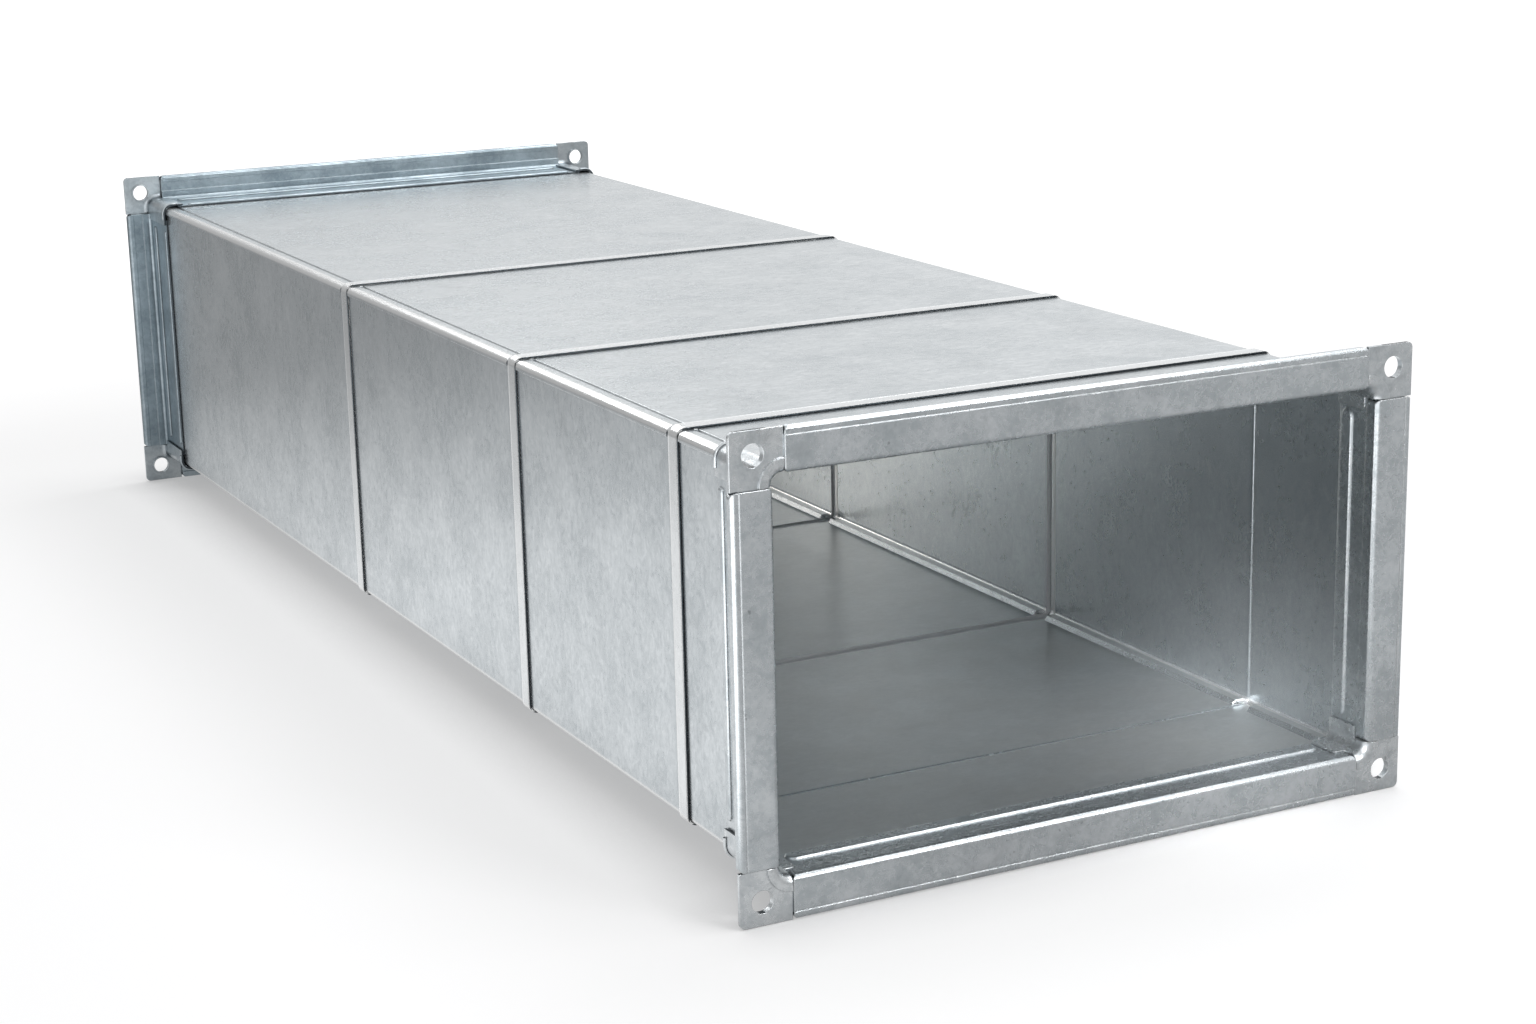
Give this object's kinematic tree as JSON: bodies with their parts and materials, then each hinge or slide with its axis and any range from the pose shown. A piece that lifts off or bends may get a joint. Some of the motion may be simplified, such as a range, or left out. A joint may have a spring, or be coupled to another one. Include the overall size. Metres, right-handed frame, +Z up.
{
  "type": "rectangular duct",
  "caption": "Straight rectangular air duct of galvanised sheet steel with lock-seamed corners, swaged lap joints and a bolted slip-on flange at each end.",
  "frame": {"origin": "centre of the footprint, at the height of the flanges' bottom edges", "axes": "+X to the right seen from the front flange, +Y along the duct from the front flange to the rear one, +Z up"},
  "size_m": [0.39, 1.05, 0.24],
  "materials": {
    "body_sheet": "galvanised, semi-matt with fine spangle",
    "flange_rail": "galvanised, satin",
    "corner_piece": "galvanised, satin"
  },
  "bodies": {
    "root": {"front_course_lower_sheet": "body_sheet", "front_course_upper_sheet": "body_sheet", "second_course_lower_sheet": "body_sheet", "second_course_upper_sheet": "body_sheet", "third_course_lower_sheet": "body_sheet", "third_course_upper_sheet": "body_sheet", "rear_course_lower_sheet": "body_sheet", "rear_course_upper_sheet": "body_sheet", "front_rail_right": "flange_rail", "front_rail_top": "flange_rail", "front_rail_left": "flange_rail", "front_rail_bottom": "flange_rail", "rear_rail_right": "flange_rail", "rear_rail_top": "flange_rail", "rear_rail_left": "flange_rail", "rear_rail_bottom": "flange_rail", "front_corner_top_right": "corner_piece", "front_corner_top_left": "corner_piece", "front_corner_bottom_left": "corner_piece", "front_corner_bottom_right": "corner_piece", "rear_corner_top_right": "corner_piece", "rear_corner_top_left": "corner_piece", "rear_corner_bottom_left": "corner_piece", "rear_corner_bottom_right": "corner_piece"}
  },
  "joints": []
}
